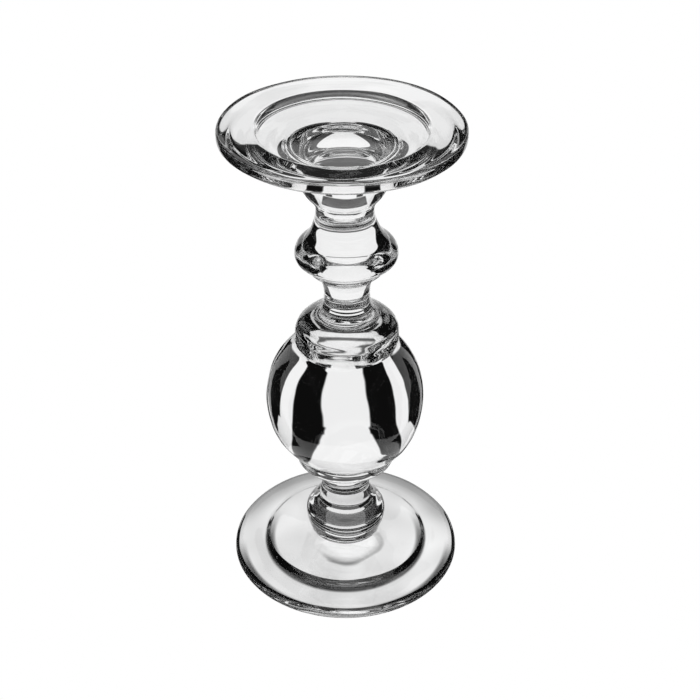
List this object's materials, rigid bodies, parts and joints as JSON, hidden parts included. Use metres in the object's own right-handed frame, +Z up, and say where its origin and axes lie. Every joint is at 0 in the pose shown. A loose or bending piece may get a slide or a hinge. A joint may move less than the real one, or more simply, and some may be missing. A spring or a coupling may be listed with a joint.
{
  "type": "glass candlestick",
  "caption": "Tall clear glass candlestick with a stepped round foot, a large ball and turned knops in the stem, and a wide dish with a shallow well for a pillar candle.",
  "frame": {"origin": "centre of the foot's underside, on the surface the candlestick stands on", "axes": "+Z up along the stem's axis, X and Y arbitrary because the shape is round about Z"},
  "size_m": [0.1206, 0.1206, 0.25],
  "materials": {
    "clear_glass": "clear, fire-polished, with faint hand-made waves",
    "rippled_glass": "clear, fire-polished, with strong tool ripples"
  },
  "bodies": {
    "root": {"foot": "clear_glass", "lower_knop": "clear_glass", "lower_ring": "clear_glass", "bulb": "clear_glass", "shoulder_ring": "rippled_glass", "neck": "clear_glass", "upper_knop": "clear_glass", "plate_collar": "clear_glass", "drip_plate": "clear_glass"}
  },
  "joints": []
}
